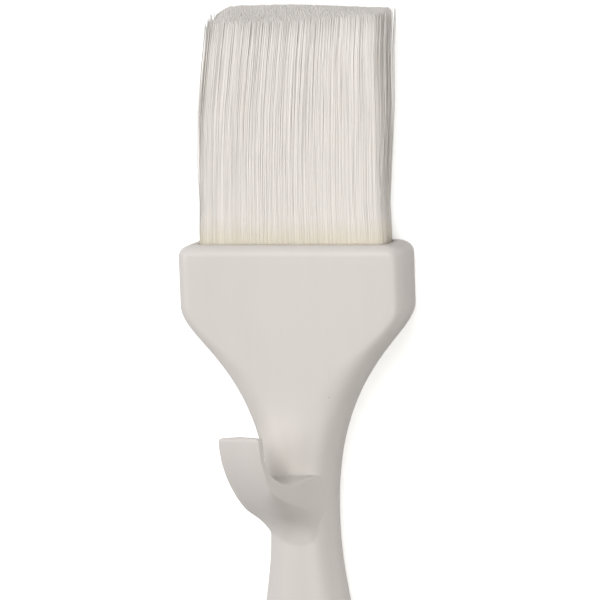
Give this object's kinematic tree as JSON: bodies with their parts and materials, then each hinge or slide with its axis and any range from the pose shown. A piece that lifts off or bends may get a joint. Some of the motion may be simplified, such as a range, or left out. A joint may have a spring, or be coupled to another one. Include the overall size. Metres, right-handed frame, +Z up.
{
  "type": "pastry brush",
  "caption": "Flat pastry brush: a plastic handle with a wide head, waisted neck, bowl hook and oval grip with a hanging hole, and a pack of straight white filaments.",
  "frame": {"origin": "on the surface that the brush lies on, under the middle of its length and width", "axes": "+X across the head, +Y along the handle towards the bristle tips, +Z up out of the front face, the side that the hook stands on"},
  "size_m": [0.061, 0.237, 0.0332],
  "materials": {
    "white_plastic": "moulded food-grade plastic, soft satin",
    "white_nylon": "fine drawn nylon filament, slightly translucent",
    "cured_resin": "cured clear resin, yellowish"
  },
  "bodies": {
    "root": {"handle": "white_plastic", "resin_setting": "cured_resin", "bristle_front_01": "white_nylon", "bristle_front_02": "white_nylon", "bristle_front_03": "white_nylon", "bristle_front_04": "white_nylon", "bristle_front_05": "white_nylon", "bristle_front_06": "white_nylon", "bristle_front_07": "white_nylon", "bristle_front_08": "white_nylon", "bristle_front_09": "white_nylon", "bristle_front_10": "white_nylon", "bristle_back_01": "white_nylon", "bristle_back_02": "white_nylon", "bristle_back_03": "white_nylon", "bristle_back_04": "white_nylon", "bristle_back_05": "white_nylon", "bristle_back_06": "white_nylon", "bristle_back_07": "white_nylon", "bristle_back_08": "white_nylon", "bristle_back_09": "white_nylon", "bristle_back_10": "white_nylon"}
  },
  "joints": []
}
